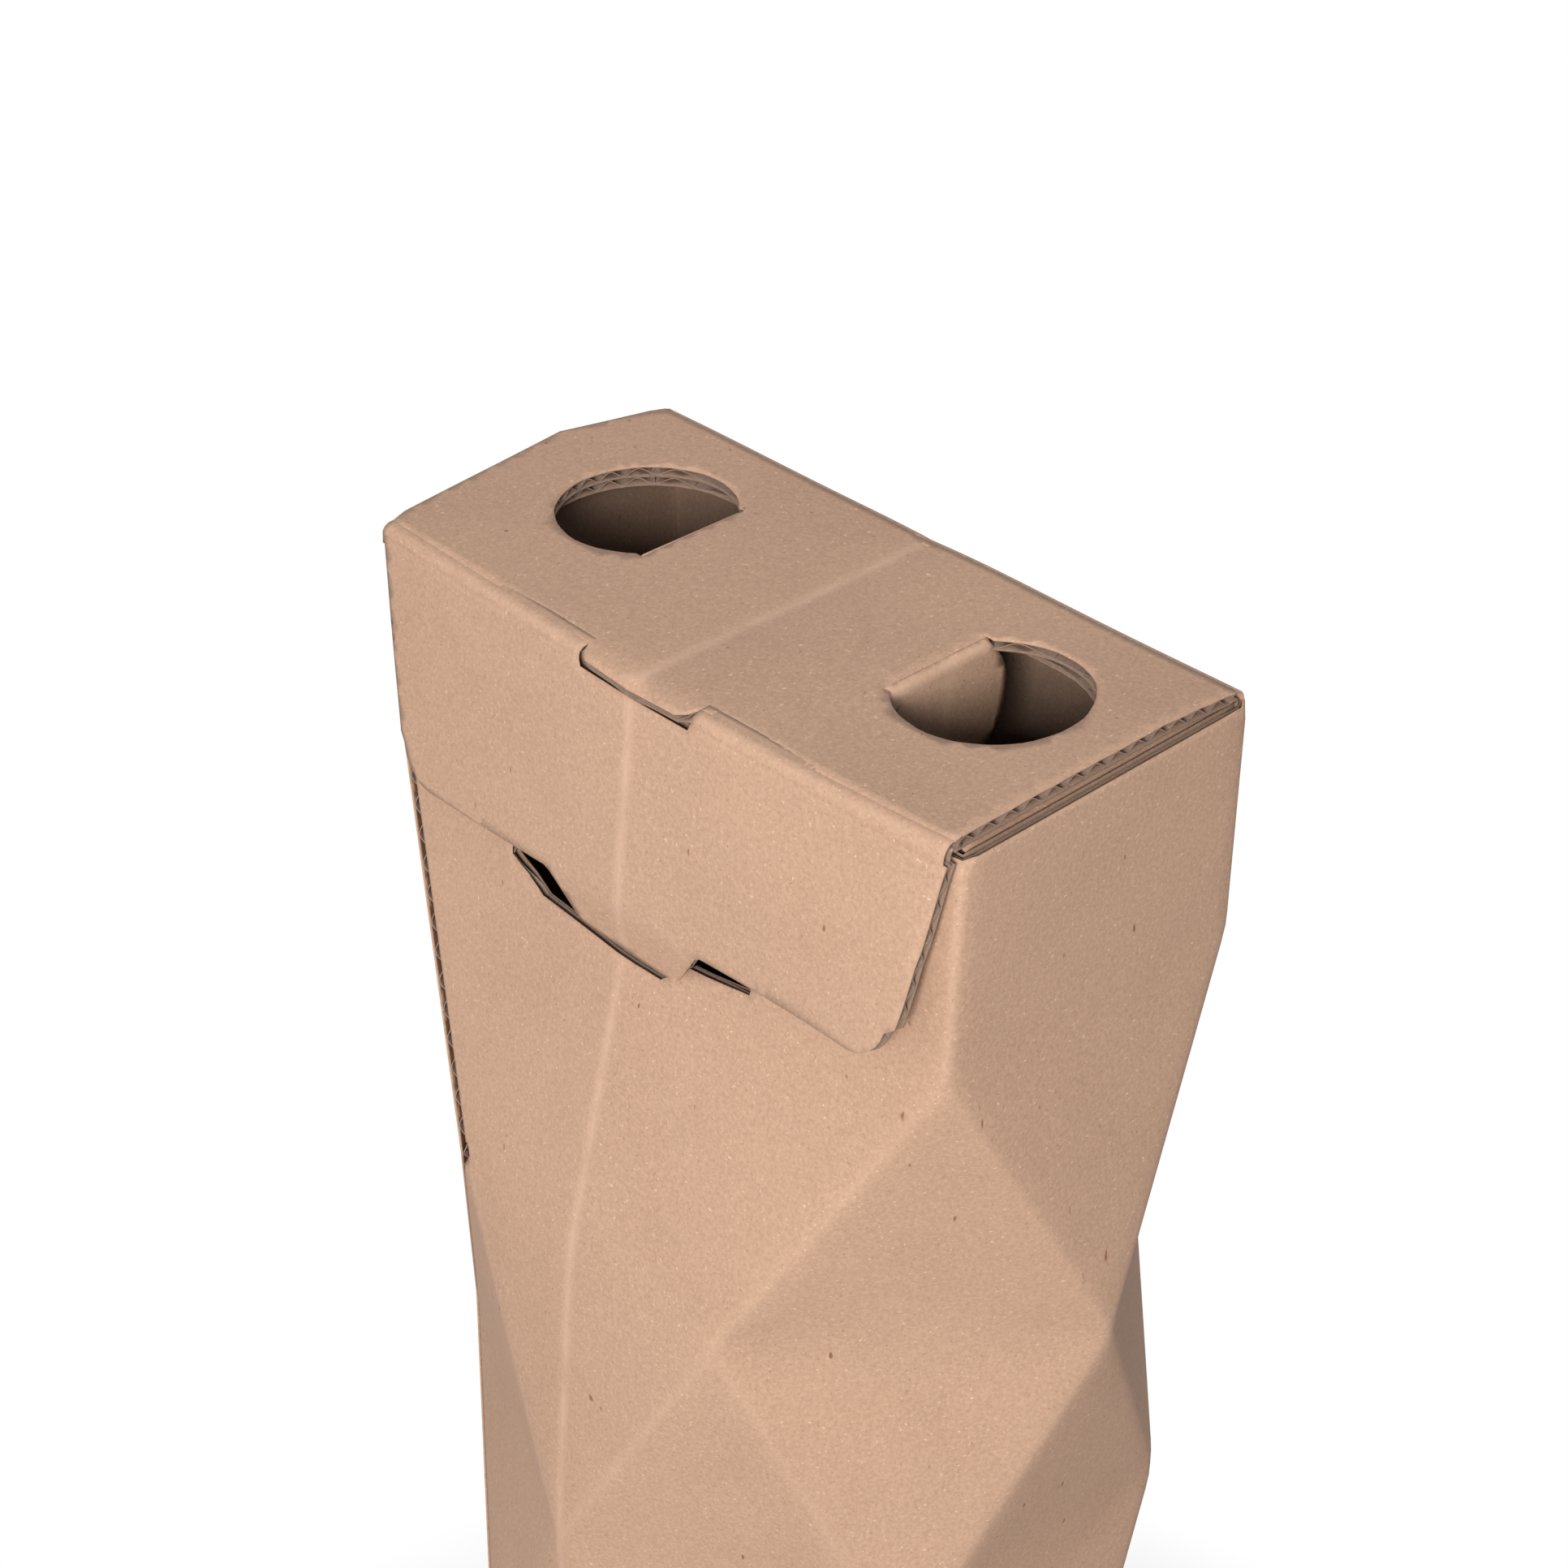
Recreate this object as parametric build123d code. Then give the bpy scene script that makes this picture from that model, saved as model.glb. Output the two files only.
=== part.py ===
from build123d import *
import math
import os

# Bottle gift box in corrugated board. Millimetres, +Z up, origin at the bottom centre,
# front towards -Y.

HEIGHT = 350.0  # floor to top of the lid
LID_WIDTH = 100.0
LID_DEPTH = 48.0
BOARD = 1.5  # thickness of the board
LAYER_GAP = 0.3  # clearance between two sheets that lie on each other
PLATE_GAP = 0.15  # clearance between the lid's front edge and the tuck flap

FIRST_ROW = 30.5  # first row of creases, below the top of the lid
ROW_PITCH = 48.6
ROW_COUNT = 7
CORNER_ROW_TURNS = [3.0, 24.6, 28.5, 30.0]  # degrees the front turns at its centre
MIDDLE_ROW_TURNS = [50.5, 56.5, 59.5]  # degrees the corner facets turn
MIDDLE_ROW_RIDGES = [4.0, 2.0, 1.0]
GLUE_WIDTH = 8.0  # overlap of the glued seam
TOP_SETBACK = 1.8  # front wall's top edge behind the fold of the tuck flap

SHOULDER = 3.0  # outer radius of the dust flap's fold
DUST_INNER = 9.0  # half the gap between the dust flaps' arms
DUST_CLEAR = 0.8  # clearance of a dust flap to the front and back wall

HOLE_RADIUS = 11.6
HOLE_X = 30.2
HOLE_Y = 2.5
HOLE_CHORD = 8.0  # chord's distance from the hole's centre
SWING_FRONT = 3.2  # what the notch leaves in front of a swinging tab
SWING_REAR = 0.8
SWING_SIDE = 0.8

LID_RIGHT_SET = 1.2  # the lid's right edge stops short of the fold
LID_POINT = 4.5  # outward point of the lid's left edge
LID_POINT_Y = 8.0
TAB_ROOT = 10.0  # half width of the lid's small front tab
TAB_TIP = 8.0
TAB_REACH = 0.5
TAB_CLEAR = 0.4

FLAP_DROP = 31.0  # at the centre crease
FLAP_SKEW = 2.5  # lower edge hangs lower on the left and higher on the right
FLAP_BULGE_TOP = 1.3  # centre crease of the flap in front of its ends
FLAP_LEAN_SIDE = 4.0
FLAP_LEAN_CENTRE = 5.0
FLAP_TAPER = 5.0
FLAP_CORNER = 6.0
FLAP_END_CLEAR = 0.4
TONGUE_ROOT = 14.0
TONGUE_TIP = 9.0
TONGUE_DROP = 6.5
TONGUE_IN = 0.6  # how far the tongue's tip leans back in

CUT_TOP = 20.5  # half width of the cut in the front wall at its top
CUT_SHOULDER = 15.0
CUT_LIP = 9.9
CUT_RISE = 1.2  # top of the cut above the flap's bottom edge
CUT_SINK = 1.2  # its shoulders below that edge
LIP_GAP = 0.4  # clearance of the tongue's tip over the lip

half_width = LID_WIDTH / 2
half_depth = LID_DEPTH / 2
corner_panel = half_width / 2 + half_depth
seat = HEIGHT - BOARD
wall_top = seat - LAYER_GAP
sides = [(1, -1), (1, 1), (-1, 1), (-1, -1)]


def pick(values, index):
    return values[min(index, len(values) - 1)]


def corner_ring(z, turn, front_setback=0.0):
    a = math.radians(turn)
    ring = {"kind": "corner", "z": z}
    for sx, sy in sides:
        y = half_depth - (front_setback if sy < 0 else 0.0)
        ring["K", sx, sy] = Vector(sx * half_width * math.cos(a), sy * y, z)
    for sy in (-1, 1):
        y = half_depth - (front_setback if sy < 0 else 0.0)
        ring["C", 0, sy] = Vector(0, sy * (y + half_width * math.sin(a)), z)
    return ring


def middle_ring(z, turn, ridge):
    a = math.radians(turn)
    b = math.radians(ridge)
    ring = {"kind": "middle", "z": z}
    fx = half_width / 2 * math.cos(b)
    fy = corner_panel * math.sin(a)
    for sx, sy in sides:
        ring["F", sx, sy] = Vector(sx * fx, sy * fy, z)
    for sx in (-1, 1):
        ring["L", sx, 0] = Vector(sx * (fx + corner_panel * math.cos(a)), 0, z)
    for sy in (-1, 1):
        ring["C", 0, sy] = Vector(0, sy * (fy + half_width / 2 * math.sin(b)), z)
    return ring


def row_ring(row):
    z = HEIGHT - FIRST_ROW - row * ROW_PITCH
    if row % 2 == 0:
        return corner_ring(z, pick(CORNER_ROW_TURNS, row // 2))
    return middle_ring(z, pick(MIDDLE_ROW_TURNS, row // 2), pick(MIDDLE_ROW_RIDGES, row // 2))


rings = [corner_ring(wall_top, 0.0, TOP_SETBACK)]
rings += [row_ring(row) for row in range(ROW_COUNT)]
rings.append(corner_ring(0.0, CORNER_ROW_TURNS[-1]))
for side, y_side in sides:
    first = rings[1]["K", side, y_side]
    top = rings[0]["K", side, y_side]
    rings[0]["K", side, y_side] = Vector(first.X, top.Y, top.Z)


def strip_facets(i):
    """Outer facets between ring i and the ring below it, as keys (ring, name, sx, sy)."""
    upper, lower = rings[i], rings[i + 1]
    out = []
    if upper["kind"] == lower["kind"]:
        for sx in (-1, 1):
            out.append(((i, "K", sx, -1), (i, "K", sx, 1), (i + 1, "K", sx, 1)))
            out.append(((i, "K", sx, -1), (i + 1, "K", sx, 1), (i + 1, "K", sx, -1)))
        for sx, sy in sides:
            out.append(((i, "K", sx, sy), (i, "C", 0, sy), (i + 1, "C", 0, sy)))
            out.append(((i, "K", sx, sy), (i + 1, "C", 0, sy), (i + 1, "K", sx, sy)))
        return out
    c, m = (i, i + 1) if upper["kind"] == "corner" else (i + 1, i)
    for sx in (-1, 1):
        out.append(((c, "K", sx, -1), (c, "K", sx, 1), (m, "L", sx, 0)))
    for sx, sy in sides:
        out.append(((c, "K", sx, sy), (m, "L", sx, 0), (m, "F", sx, sy)))
        out.append(((c, "K", sx, sy), (m, "F", sx, sy), (c, "C", 0, sy)))
        out.append(((c, "C", 0, sy), (m, "F", sx, sy), (m, "C", 0, sy)))
    return out


def normal_of(points):
    n = (points[1] - points[0]).cross(points[2] - points[0]).normalized()
    middle = (points[0] + points[1] + points[2]) / 3
    if n.X * middle.X + n.Y * middle.Y < 0:
        n = n * -1
    return n


def solve_offset(rows):
    """Least-squares vector d with n . d = value for each row (n, value, weight)."""
    m = [[1e-4 if r == c else 0.0 for c in range(3)] for r in range(3)]
    v = [0.0, 0.0, 0.0]
    for n, value, weight in rows:
        t = (n.X, n.Y, n.Z)
        for r in range(3):
            v[r] += weight * t[r] * value
            for c in range(3):
                m[r][c] += weight * t[r] * t[c]

    def det(a):
        return (
            a[0][0] * (a[1][1] * a[2][2] - a[1][2] * a[2][1])
            - a[0][1] * (a[1][0] * a[2][2] - a[1][2] * a[2][0])
            + a[0][2] * (a[1][0] * a[2][1] - a[1][1] * a[2][0])
        )

    whole = det(m)
    out = []
    for c in range(3):
        a = [[v[r] if k == c else m[r][k] for k in range(3)] for r in range(3)]
        out.append(det(a) / whole)
    return Vector(*out)


def place(key):
    return rings[key[0]][key[1:]]


def seam_name(key):
    return (key[1], key[2], key[3]) in (("K", -1, -1), ("F", -1, -1))


def is_front_left(facet):
    return any(k[1] == "C" and k[3] == -1 for k in facet) and not any(k[2] > 0 for k in facet)


facets = [f for i in range(len(rings) - 1) for f in strip_facets(i)]
last = len(rings) - 1
level = Vector(0, 0, 1)


def rows_at(key, chosen, depth):
    rows = []
    for facet in chosen:
        if key in facet:
            rows.append((normal_of([place(k) for k in facet]), depth, 1.0))
    if key[0] in (0, last):
        rows.append((level, 0.0, 50.0))
    return rows


front_left = [f for f in facets if is_front_left(f)]
rest = [f for f in facets if not is_front_left(f)]
left_sheet = [f for f in rest if any(seam_name(k) for k in f)]

# The glued seam: the front left panel's edge lies over the left side's sheet.
under = {}
for key in {k for f in front_left for k in f if seam_name(k)}:
    rows = rows_at(key, front_left, BOARD)
    if key[0] in (0, 1):
        rows.append((Vector(1, 0, 0), 0.0, 50.0))
    under[key] = place(key) - solve_offset(rows)


def outer_point(key, low):
    return under[key] if low and seam_name(key) else place(key)


inner = {}
for key in {k for f in facets for k in f if not seam_name(k)}:
    inner[key] = place(key) - solve_offset(rows_at(key, facets, BOARD))
inner_under = {}
for key in under:
    rows = []
    for facet in left_sheet:
        if key in facet:
            rows.append((normal_of([outer_point(k, True) for k in facet]), BOARD, 1.0))
    rows += rows_at(key, front_left, BOARD)
    inner_under[key] = under[key] - solve_offset(rows)
for table in (inner, inner_under):
    for key, point in table.items():
        if key[0] == last:
            table[key] = Vector(point.X, point.Y, BOARD)


def glue_point(seam_key, to_key, depth):
    """A point of the glue overlap's inner edge, on the line from the seam to to_key."""
    a, b = place(seam_key), place(to_key)
    chosen = [f for f in front_left if seam_key in f and to_key in f]
    rows = [(normal_of([place(k) for k in f]), depth, 1.0) for f in chosen]
    if seam_key[0] in (0, last):
        rows.append((level, 0.0, 50.0))
    p = a + (b - a).normalized() * GLUE_WIDTH - solve_offset(rows)
    if seam_key[0] == last:
        p = Vector(p.X, p.Y, BOARD)
    return p


def triangle(a, b, c):
    return Face(Wire.make_polygon([a, b, c], close=True))


skin = []


def add(*points):
    for i in range(1, len(points) - 1):
        skin.append(triangle(points[0], points[i], points[i + 1]))


for facet in facets:
    low = facet in left_sheet
    add(*[outer_point(k, low) for k in facet])
for facet in rest:
    low = facet in left_sheet
    add(*[inner_under[k] if low and seam_name(k) else inner[k] for k in facet])

for facet in front_left:
    seam_keys = [k for k in facet if seam_name(k)]
    others = [k for k in facet if not seam_name(k)]
    if len(seam_keys) == 2:
        a, b = seam_keys
        c = others[0]
        a1, b1 = glue_point(a, c, BOARD), glue_point(b, c, BOARD)
        a2, b2 = glue_point(a, c, 2 * BOARD), glue_point(b, c, 2 * BOARD)
        add(inner_under[a], inner_under[b], b2, a2)
        add(a1, b1, b2, a2)
        add(a1, b1, inner[c])
        add(place(a), place(b), under[b], under[a])
    elif len(seam_keys) == 1:
        a = seam_keys[0]
        b, c = others
        b1, c1 = glue_point(a, b, BOARD), glue_point(a, c, BOARD)
        b2, c2 = glue_point(a, b, 2 * BOARD), glue_point(a, c, 2 * BOARD)
        add(inner_under[a], b2, c2)
        add(b1, c1, c2, b2)
        add(b1, inner[b], inner[c], c1)

# Top rim, with the doubled seam, and the floor.
k_lf, k_lb, k_rb, k_rf = [(0, "K", sx, sy) for sx, sy in ((-1, -1), (-1, 1), (1, 1), (1, -1))]
c_f, c_b = (0, "C", 0, -1), (0, "C", 0, 1)
around = [k_lb, c_b, k_rb, k_rf, c_f]
for a, b in zip(around, around[1:]):
    add(place(a), place(b), inner[b], inner[a])
g1 = glue_point(k_lf, c_f, BOARD)
g2 = glue_point(k_lf, c_f, 2 * BOARD)
add(place(c_f), place(k_lf), g1, inner[c_f])
add(place(k_lf), under[k_lf], inner_under[k_lf], g2, g1)
add(under[k_lf], place(k_lb), inner[k_lb], inner_under[k_lf])


def at_floor(key):
    return (last,) + key[1:]


outer_floor = [place(at_floor(k)) for k in around] + [place(at_floor(k_lf)), under[at_floor(k_lf)]]
skin.append(Face(Wire.make_polygon(outer_floor, close=True)))
f1 = glue_point(at_floor(k_lf), at_floor(c_f), BOARD)
f2 = glue_point(at_floor(k_lf), at_floor(c_f), 2 * BOARD)
inner_floor = [inner[at_floor(k)] for k in around] + [f1, f2, inner_under[at_floor(k_lf)]]
skin.append(Face(Wire.make_polygon(inner_floor, close=True)))

tube = Solid(Shell(skin))
if tube.volume < 0:
    tube = Solid(tube.wrapped.Reversed())
print("tube", tube.is_valid, round(tube.volume), len(skin))

# Dust flaps: each runs over a rounded shoulder and in under the lid, notched for the tabs.
wall_x = place(k_rf).X
inner_x = wall_x - BOARD
bend_z = wall_top - SHOULDER
dust_front = -half_depth + TOP_SETBACK + BOARD + DUST_CLEAR
dust_back = half_depth - BOARD - DUST_CLEAR
leg = 6.0


def dust_profile():
    with BuildSketch(Plane.XZ) as s:
        with BuildLine():
            cx = wall_x - SHOULDER
            a = Line((wall_x, bend_z - leg), (wall_x, bend_z))
            RadiusArc(a @ 1, (cx, wall_top), -SHOULDER)
            b = Line((cx, wall_top), (DUST_INNER, wall_top))
            c = Line(b @ 1, (DUST_INNER, wall_top - BOARD))
            d = Line(c @ 1, (cx, wall_top - BOARD))
            RadiusArc(d @ 1, (inner_x, bend_z), SHOULDER - BOARD)
            e = Line((inner_x, bend_z), (inner_x, bend_z - leg))
            Line(e @ 1, a @ 0)
        make_face()
    return s.sketch


profile = dust_profile()
dust = extrude(profile, amount=-(dust_back - dust_front))
dust = Pos(0, dust_front - dust.bounding_box().min.Y, 0) * dust
notch_front = HOLE_Y - HOLE_RADIUS - SWING_FRONT
notch_back = HOLE_Y + HOLE_RADIUS + SWING_REAR
notch_y = (notch_front + notch_back) / 2
notch_r = (notch_back - notch_front) / 2
notch_x = HOLE_X + HOLE_RADIUS + SWING_SIDE - notch_r
notch = Pos(notch_x / 2, notch_y, wall_top) * Box(notch_x, 2 * notch_r, 4 * BOARD)
notch += Pos(notch_x, notch_y, wall_top) * Cylinder(notch_r, 4 * BOARD)
dust -= notch
dust_left = mirror(dust, about=Plane.YZ)

carton = tube
relief = SHOULDER + 0.5
for side in (1, -1):
    box = Box(2 * relief, dust_back - dust_front + 2 * DUST_CLEAR, relief)
    middle_y = (dust_front + dust_back) / 2
    carton -= Pos(side * (wall_x + relief - relief), middle_y, wall_top - relief / 2) * box
carton += [dust, dust_left]

# The cut that takes the tongue.
flap_bottom = HEIGHT - FLAP_DROP
tip_z = flap_bottom - TONGUE_DROP
lip_z = tip_z - LIP_GAP


def beside_flap(x, rise):
    """A point of the front wall, at a height over the flap's slanting bottom edge."""
    return (x, flap_bottom + FLAP_SKEW * x / (half_width - FLAP_END_CLEAR) + rise)


with BuildSketch(Plane.XZ) as cut_sketch:
    Polygon(
        beside_flap(-CUT_TOP, CUT_RISE),
        beside_flap(CUT_TOP, CUT_RISE),
        beside_flap(CUT_SHOULDER, -CUT_SINK),
        (CUT_LIP, lip_z),
        (-CUT_LIP, lip_z),
        beside_flap(-CUT_SHOULDER, -CUT_SINK),
        align=None,
    )
cutter = extrude(cut_sketch.sketch, amount=half_depth + half_width / 2)
carton -= cutter

# Lid plate, front edge following the flap's bulge, with its small front tab.
plate_front = -half_depth + BOARD + PLATE_GAP
tab_y = -half_depth - FLAP_BULGE_TOP - TAB_REACH
bulge = FLAP_BULGE_TOP
tab_root_y = plate_front - bulge * (1 - TAB_ROOT / half_width)
outline = [
    (-half_width, plate_front),
    (-TAB_ROOT, tab_root_y),
    (-TAB_TIP, tab_y),
    (TAB_TIP, tab_y),
    (TAB_ROOT, tab_root_y),
    (half_width - LID_RIGHT_SET, plate_front),
    (half_width - LID_RIGHT_SET, half_depth),
    (-half_width, half_depth),
    (-half_width - LID_POINT, LID_POINT_Y),
]
with BuildSketch(Plane.XY) as plate:
    Polygon(*outline, align=None)
lid = Pos(0, 0, seat) * extrude(plate.sketch, amount=BOARD)


def disc_segment():
    with BuildSketch(Plane.XY) as s:
        with Locations((HOLE_X, HOLE_Y)):
            Circle(HOLE_RADIUS)
        with Locations((HOLE_X - HOLE_CHORD - HOLE_RADIUS / 2, HOLE_Y)):
            Rectangle(HOLE_RADIUS, 2.5 * HOLE_RADIUS, mode=Mode.SUBTRACT)
    return s.sketch


chord_x = HOLE_X - HOLE_CHORD
segment = disc_segment()
hole = Pos(0, 0, seat - BOARD) * extrude(segment, amount=3 * BOARD)
# The pushed-in disc hangs from its chord, its printed face outwards.
flat_disc = Pos(-chord_x, 0, -BOARD) * extrude(segment, amount=BOARD)
tab = Pos(chord_x, 0, HEIGHT - BOARD / 3) * (Rot(0, 90, 0) * flat_disc)
lid -= hole
lid += tab
lid -= mirror(hole, about=Plane.YZ)
lid += mirror(tab, about=Plane.YZ)

# Tuck flap: two leaning halves that meet in a crease, and the tongue below them.
end_x = half_width - FLAP_END_CLEAR
top_l = Vector(-end_x, -half_depth, HEIGHT)
top_r = Vector(end_x, -half_depth, HEIGHT)
top_c = Vector(0, -half_depth - FLAP_BULGE_TOP, HEIGHT)
low_l = Vector(-end_x, -half_depth - FLAP_LEAN_SIDE, flap_bottom - FLAP_SKEW)
low_r = Vector(end_x, -half_depth - FLAP_LEAN_SIDE, flap_bottom + FLAP_SKEW)
low_c = Vector(0, -half_depth - FLAP_LEAN_CENTRE, flap_bottom)
root_share = TONGUE_ROOT / end_x
root_l = low_c + (low_l - low_c) * root_share
root_r = low_c + (low_r - low_c) * root_share
tip_y = low_c.Y + TONGUE_IN
tip_l = Vector(-TONGUE_TIP, tip_y, tip_z)
tip_r = Vector(TONGUE_TIP, tip_y, tip_z)
tip_c = Vector(0, tip_y, tip_z)


def card(points, triangles, thickness, flat=()):
    """A closed sheet from outer triangles, grown inwards by thickness (towards +Y)."""
    normals = []
    for t in triangles:
        a, b, c = [points[i] for i in t]
        n = (b - a).cross(c - a).normalized()
        normals.append(n if n.Y < 0 else n * -1)
    inside = []
    for i, p in enumerate(points):
        rows = [(n, thickness, 1.0) for n, t in zip(normals, triangles) if i in t]
        if i in flat:
            rows.append((level, 0.0, 50.0))
        inside.append(p - solve_offset(rows))
    faces = []
    edges = {}
    for t in triangles:
        faces.append(triangle(*[points[i] for i in t]))
        faces.append(triangle(*[inside[i] for i in t]))
        for a, b in zip(t, t[1:] + t[:1]):
            edges.setdefault(frozenset((a, b)), []).append((a, b))
    for uses in edges.values():
        if len(uses) == 1:
            a, b = uses[0]
            faces.append(triangle(points[a], points[b], inside[b]))
            faces.append(triangle(points[a], inside[b], inside[a]))
    solid = Solid(Shell(faces))
    return solid


flap_points = [top_l, top_c, top_r, low_l, root_l, low_c, root_r, low_r, tip_l, tip_c, tip_r]
flap_triangles = [
    (0, 1, 3),
    (1, 4, 3),
    (1, 5, 4),
    (1, 2, 7),
    (1, 7, 6),
    (1, 6, 5),
    (4, 5, 8),
    (5, 9, 8),
    (5, 6, 10),
    (5, 10, 9),
]
tuck = card(flap_points, flap_triangles, BOARD, flat=(0, 1, 2, 8, 9, 10))
print("flap", tuck.is_valid, round(tuck.volume))
low_x = end_x - FLAP_TAPER
slope = FLAP_TAPER * FLAP_CORNER / FLAP_DROP
cut_x = low_x - FLAP_CORNER
near_x = low_x - 0.3 * FLAP_CORNER
left_z = flap_bottom - FLAP_SKEW * low_x / end_x
right_z = flap_bottom + FLAP_SKEW * low_x / end_x
with BuildSketch(Plane.XZ) as front:
    Polygon(
        (-end_x, HEIGHT),
        (end_x, HEIGHT),
        (low_x + slope, right_z + FLAP_CORNER),
        (near_x, right_z + 0.3 * FLAP_CORNER),
        (cut_x, right_z - 1),
        (cut_x, tip_z),
        (-cut_x, tip_z),
        (-cut_x, left_z - 1),
        (-near_x, left_z + 0.3 * FLAP_CORNER),
        (-low_x - slope, left_z + FLAP_CORNER),
        align=None,
    )
    with BuildSketch(Plane.XZ, mode=Mode.SUBTRACT):
        reach = TAB_ROOT + TAB_CLEAR + (TAB_ROOT - TAB_TIP)
        # Deep enough for the lid's front tab to pass as the flap swings up.
        notch_drop = math.hypot(FLAP_BULGE_TOP + TAB_REACH, BOARD) + TAB_CLEAR
        Polygon(
            (-reach, HEIGHT + BOARD),
            (reach, HEIGHT + BOARD),
            (TAB_ROOT + TAB_CLEAR, HEIGHT - notch_drop),
            (-TAB_ROOT - TAB_CLEAR, HEIGHT - notch_drop),
            align=None,
        )
silhouette = extrude(front.sketch, amount=2 * half_depth)
tuck = tuck & silhouette

os.makedirs("parts", exist_ok=True)
for name, shape in (("carton", carton), ("lid", lid), ("tuck_flap", tuck)):
    solids = shape.solids()
    print(name, len(solids), [round(s.volume) for s in solids], [s.is_valid for s in solids])
    body = solids[0] if len(solids) == 1 else Compound(children=list(solids))
    export_step(body, "parts/" + name + ".step")
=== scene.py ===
import math

import bpy
import numpy as np
from mathutils import Matrix, Vector
from mathutils.geometry import delaunay_2d_cdt


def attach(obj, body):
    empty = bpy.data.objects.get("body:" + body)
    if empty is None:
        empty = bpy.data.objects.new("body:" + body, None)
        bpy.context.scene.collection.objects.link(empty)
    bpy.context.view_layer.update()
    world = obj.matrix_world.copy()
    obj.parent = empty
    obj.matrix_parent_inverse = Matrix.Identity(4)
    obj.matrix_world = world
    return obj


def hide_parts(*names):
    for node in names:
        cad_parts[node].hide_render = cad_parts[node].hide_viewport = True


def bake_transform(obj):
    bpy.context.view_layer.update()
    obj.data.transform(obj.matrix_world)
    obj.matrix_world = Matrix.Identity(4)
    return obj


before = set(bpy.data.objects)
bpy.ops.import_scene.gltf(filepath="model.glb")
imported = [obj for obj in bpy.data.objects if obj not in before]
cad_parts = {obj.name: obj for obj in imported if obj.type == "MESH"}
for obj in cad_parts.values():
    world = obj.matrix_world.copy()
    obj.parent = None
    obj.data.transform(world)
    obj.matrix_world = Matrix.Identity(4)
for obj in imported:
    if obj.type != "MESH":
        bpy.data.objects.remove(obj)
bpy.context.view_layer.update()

# Sizes in millimetres, as the solids have them. Meshes are made in metres at the end.
MM = 0.001
HEIGHT = 350.0
HALF_W = 50.0
HALF_D = 24.0
CORNER_PANEL = HALF_W / 2 + HALF_D  # width of a corner facet where it is widest
SIDE_SHARE = HALF_D / CORNER_PANEL  # the part of it that lies on the narrow side
BOARD = 1.5
WALL_TOP = HEIGHT - BOARD - 0.3
FIRST_ROW = 30.5  # depth of the first row of folds under the top
ROW_PITCH = 48.6
ROW_COUNT = 7
CORNER_TURNS = [3.0, 24.6, 28.5, 30.0]  # degrees, in the rows that meet at the corners
MIDDLE_TURNS = [50.5, 56.5, 59.5]  # degrees, of the corner facets in the rows between
MIDDLE_RIDGES = [4.0, 2.0, 1.0]  # degrees, of the broad panels in the rows between
TOP_SETBACK = 1.8  # how far the front wall stands back under the lid
END_X = HALF_W - 0.4  # half the width of the tuck flap
FLAP_DROP = 31.0
TONGUE_DROP = 6.5
FLAP_SKEW = 2.5  # rise of the flap's lower edge from the middle to the right end
HOLE_X, HOLE_Y, HOLE_R, CHORD = 30.2, 2.5, 11.6, 8.0

# Layers of the board, and how its raw edges are drawn.
FLUTE = 3.35  # pitch of the flutes
LINER = 0.22  # thickness of a liner sheet
FLUTED = 0.16  # thickness of the fluted sheet
FLUTE_INSET = 0.05
FLUTE_REACH = 2.4  # depth of the fluted sheet behind a raw edge
FLUTE_SHORT = 0.35  # the same where the board is narrower than that
FLUTE_STEP = 0.42
PROBE = 0.25  # distance at which the two sides of an edge are told apart
THINNED = 0.02  # how much the lid and its flap are thinner than the walls

# Spacing of the meshes.
ROW_HEIGHT = 0.87  # height of a row of points, in steps
CREASE_ROWS = (0.0, 0.55, 1.3)  # distances of the rows of points beside a crease
SAME_PLACE = 0.45  # crease points in one square of this size count as one
EDGE_CLEAR = 0.3  # no inner point lies closer to a border than this
TINY = 1e-9


# Helpers
def make_mesh(name, verts, faces, smooth=True):
    mesh = bpy.data.meshes.new(name)
    mesh.from_pydata([tuple(float(c) * MM for c in v) for v in verts], [], faces)
    mesh.validate()
    mesh.update()
    if smooth:
        mesh.polygons.foreach_set("use_smooth", [True] * len(mesh.polygons))
    obj = bpy.data.objects.new(name, mesh)
    bpy.context.scene.collection.objects.link(obj)
    return obj


def unit(vector):
    return vector / max(np.linalg.norm(vector), TINY)


def closed(loop):
    """The segments of a closed loop."""
    return list(zip(loop, loop[1:] + loop[:1]))


def resample(loop, step):
    """Points along a closed loop, no further apart than step."""
    points = []
    for a, b in closed(loop):
        a, b = np.array(a, float), np.array(b, float)
        count = max(1, int(math.ceil(np.linalg.norm(b - a) / step)))
        points += [tuple(a + (b - a) * j / count) for j in range(count)]
    return points


def inside(points, loop):
    """Even-odd test of many points against one loop."""
    x, y = points[:, 0], points[:, 1]
    result = np.zeros(len(points), bool)
    for (x1, y1), (x2, y2) in closed(loop):
        if y1 != y2:
            result ^= ((y1 > y) != (y2 > y)) & (x < (x2 - x1) * (y - y1) / (y2 - y1) + x1)
    return result


def on_board(points, outer, holes):
    """Which points lie inside the outline and outside its holes."""
    result = inside(points, outer)
    for hole in holes:
        result &= ~inside(points, hole)
    return result


def distance_to(points, segments):
    """Distance of each point to the nearest segment."""
    best = np.full(len(points), 1e9)
    for a, b in segments:
        a, b = np.array(a, float), np.array(b, float)
        d = b - a
        t = np.clip(((points - a) @ d) / (d @ d), 0, 1)
        best = np.minimum(best, np.linalg.norm(points - a - t[:, None] * d, axis=1))
    return best


def near_line(points, segments, width):
    """1 on the segments, falling off to nothing at about twice the width."""
    return np.exp(-((distance_to(points, segments) / width) ** 2))


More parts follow.
